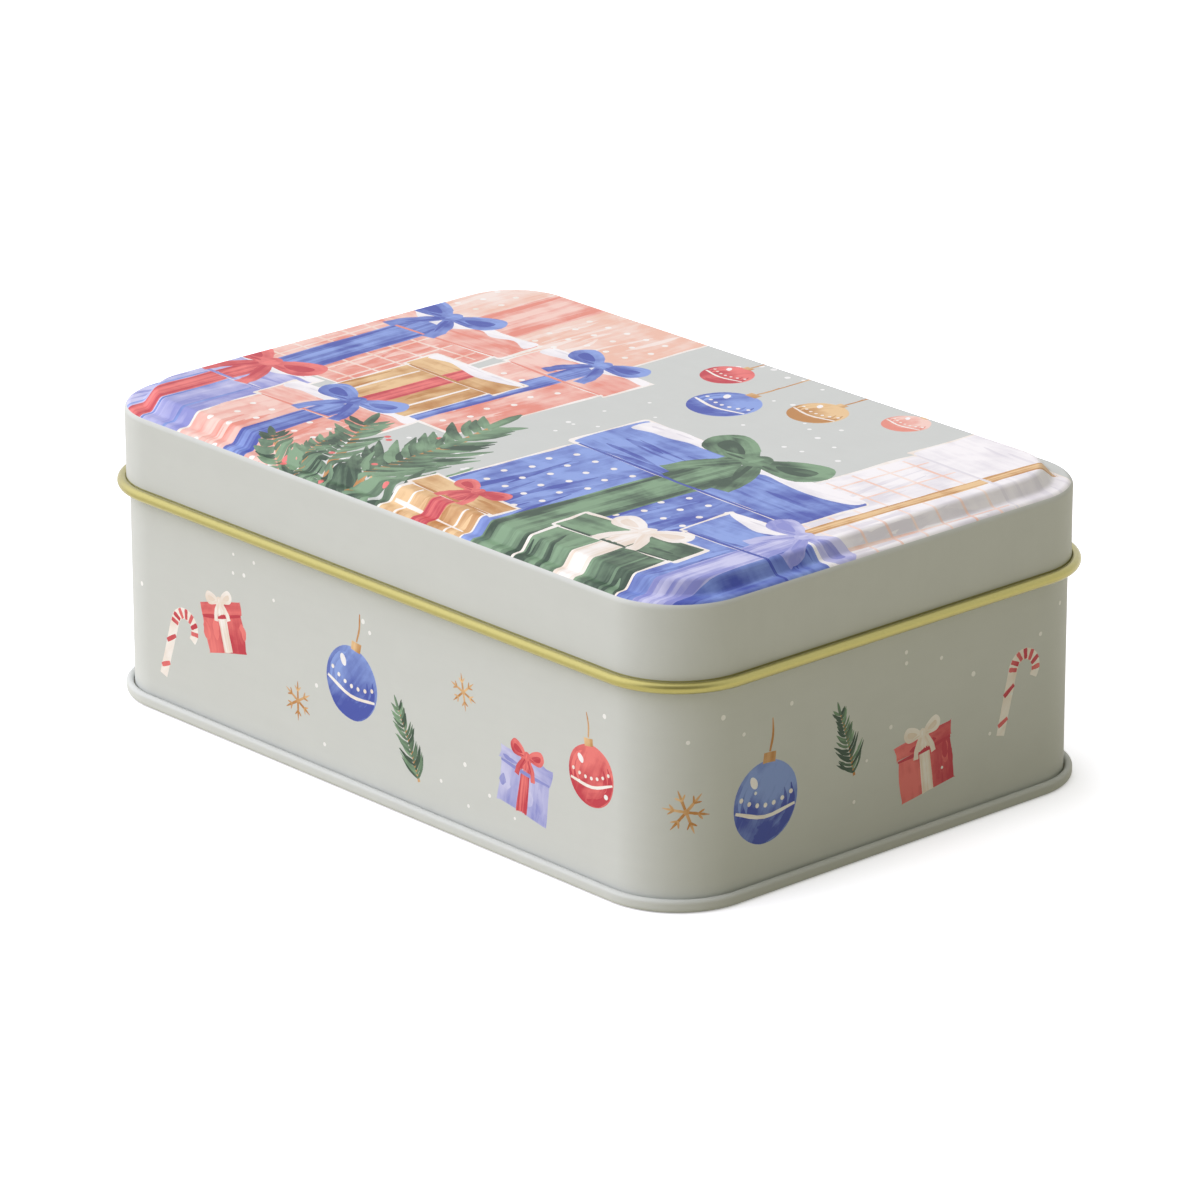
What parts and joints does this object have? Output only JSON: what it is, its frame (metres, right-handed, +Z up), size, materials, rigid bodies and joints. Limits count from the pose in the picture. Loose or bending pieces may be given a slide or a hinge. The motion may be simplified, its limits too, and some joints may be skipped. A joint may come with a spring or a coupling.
{
  "type": "rectangular candle tin",
  "caption": "Small rectangular tin with rounded corners, a slip-on stamped lid with a raised panel, a seamed foot and a poured candle inside.",
  "frame": {"origin": "centre of the tin's plan, on the floor it stands on", "axes": "+X along the long side, +Y to the back where the wall's lap is, +Z up; the lid lifts along +Z"},
  "size_m": [0.1062, 0.0718, 0.0388],
  "materials": {
    "wall_print": "satin lacquered tinplate, sage green outside, gold lacquer inside",
    "bottom_lacquer": "satin sage green lacquer",
    "lid_print": "satin lacquered tinplate with a printed panel, gold lacquer inside and on the rolled edge",
    "compound": "cured lining compound",
    "wax": "soft sheen, slightly translucent soy wax",
    "wick_cotton": "waxed cotton braid",
    "foot_steel": "plain tinned steel",
    "adhesive_foam": "thin adhesive foam"
  },
  "bodies": {
    "tin": {"body_wall": "wall_print", "bottom_plate": "bottom_lacquer", "seam_compound": "compound", "soy_wax": "wax", "wick_1": "wick_cotton", "wick_2": "wick_cotton", "wick_foot_1": "foot_steel", "wick_foot_2": "foot_steel", "wick_sticker_1": "adhesive_foam", "wick_sticker_2": "adhesive_foam"},
    "lid": {"lid": "lid_print"}
  },
  "joints": [
    {"name": "lid_lift", "type": "slide", "parent": "tin", "child": "lid", "axis": [0, 0, 1], "range_m": [0, 0.045]}
  ]
}
